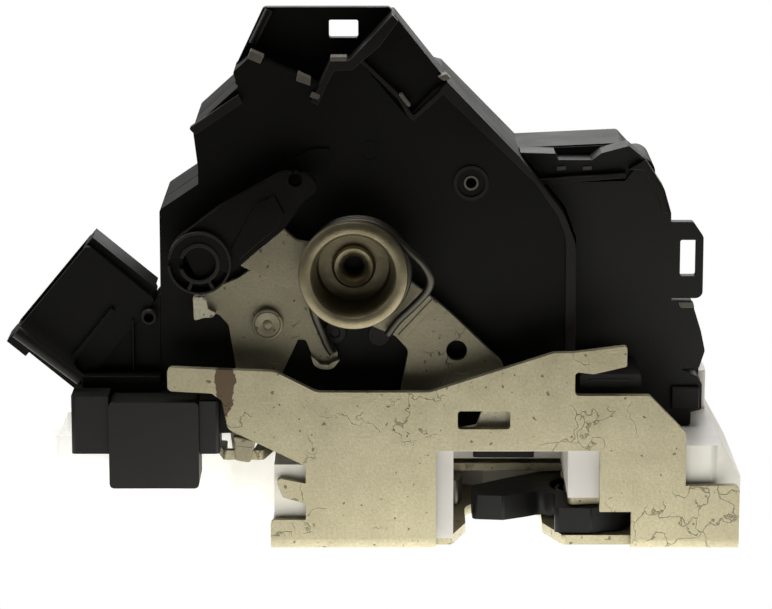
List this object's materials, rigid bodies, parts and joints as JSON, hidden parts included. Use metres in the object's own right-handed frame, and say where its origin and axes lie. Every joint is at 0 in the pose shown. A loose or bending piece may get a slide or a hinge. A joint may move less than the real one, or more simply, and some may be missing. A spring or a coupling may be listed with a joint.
{
  "type": "door latch actuator",
  "caption": "Vehicle side-door latch with a moulded locking actuator, steel L plate, catch and pawl, face levers, spring cup and connector.",
  "frame": {"origin": "centre line of the striker's way in, where the inboard flange's front plane meets the outer shut face", "axes": "+X across the shut face towards the plate's heel, +Y from the inboard flange into the latch, +Z from the shut face up into the actuator housing"},
  "size_m": [0.1517, 0.057, 0.1093],
  "materials": {
    "zinc_steel": "zinc-plated pressed steel sheet, dull and mottled",
    "turned_steel": "turned steel with a yellowed zinc plating",
    "hard_steel": "fine-blanked hardened steel",
    "spring_steel": "drawn spring wire",
    "motor_steel": "drawn steel motor can",
    "terminal_brass": "tinned brass blades",
    "black_plastic": "black glass-filled moulded plastic",
    "black_overmould": "black over-moulded plastic, greased",
    "white_plastic": "natural white acetal moulding",
    "gear_plastic": "natural acetal gear moulding",
    "rubber": "soft black rubber"
  },
  "bodies": {
    "housing": {"latch_plate": "zinc_steel", "latch_body": "white_plastic", "tray": "white_plastic", "catch_pin": "zinc_steel", "pawl_pin": "zinc_steel", "back_plate": "zinc_steel", "bumper": "rubber", "catch_spring": "spring_steel", "pawl_spring": "spring_steel", "front_housing": "black_plastic", "right_housing": "black_plastic", "rear_housing": "black_plastic", "housing_seal": "rubber", "cover_screws": "zinc_steel", "spring_cup": "turned_steel", "lever_rivet": "zinc_steel", "torsion_spring": "spring_steel", "lock_motor": "motor_steel", "shaft_bush": "black_plastic", "wheel_axle": "spring_steel", "connector_shroud": "black_plastic", "connector_pins": "terminal_brass", "connector_neck": "black_plastic", "switch_cover": "black_plastic", "switch_holder": "black_plastic", "door_switch": "black_overmould"},
    "catch": {"catch": "hard_steel", "catch_cover": "black_overmould"},
    "pawl": {"pawl": "hard_steel", "pawl_crank": "zinc_steel"},
    "release": {"release_lever": "zinc_steel"},
    "pawl_link": {"pawl_lever": "zinc_steel"},
    "lock": {"lock_lever": "black_plastic", "lock_sector": "gear_plastic"},
    "wheel": {"worm_wheel": "gear_plastic"},
    "worm": {"worm": "gear_plastic", "motor_shaft": "spring_steel"}
  },
  "joints": [
    {"name": "catch_pivot", "type": "hinge", "parent": "housing", "child": "catch", "pos_m": [0.015, 0.024, 0.005], "axis": [0, 0, -1], "range_deg": [0, 48], "stiffness_Nm_per_rad": 0.05, "springref_deg": -11.46, "deforming": ["catch_spring"]},
    {"name": "release_pivot", "type": "hinge", "parent": "housing", "child": "release", "pos_m": [-0.0337, 0.0091, 0.0576], "axis": [0, 1, 0], "range_deg": [0, 14], "stiffness_Nm_per_rad": 0.2, "springref_deg": -11.46, "deforming": ["torsion_spring"]},
    {"name": "pawl_lever_pivot", "type": "hinge", "parent": "housing", "child": "pawl_link", "pos_m": [-0.0514, 0.0114, 0.0455], "axis": [0, 1, 0], "range_deg": [0, 6.5]},
    {"name": "pawl_pivot", "type": "hinge", "parent": "housing", "child": "pawl", "pos_m": [-0.027, 0.038, 0.005], "axis": [0, 0, -1], "range_deg": [0, 6.5], "deforming": ["pawl_spring"]},
    {"name": "lock_wheel", "type": "hinge", "parent": "housing", "child": "wheel", "pos_m": [-0.03208, 0.027, 0.05605], "axis": [0, 1, 0], "range_deg": [0, 150]},
    {"name": "lock_lever_pivot", "type": "hinge", "parent": "housing", "child": "lock", "pos_m": [-0.0649, 0.01, 0.0595], "axis": [0, -1, 0], "range_deg": [0, 22]},
    {"name": "worm_spin", "type": "hinge", "parent": "housing", "child": "worm", "pos_m": [-0.03208, 0.027, 0.03966], "axis": [1, 0, 0], "range_deg": [0, 3620]}
  ],
  "couplings": [
    {"joint": "pawl_lever_pivot", "follows": "release_pivot", "ratio": 0.43},
    {"joint": "pawl_pivot", "follows": "release_pivot", "ratio": 0.44},
    {"joint": "lock_lever_pivot", "follows": "lock_wheel", "ratio": 0.13793},
    {"joint": "worm_spin", "follows": "lock_wheel", "ratio": 24}
  ]
}
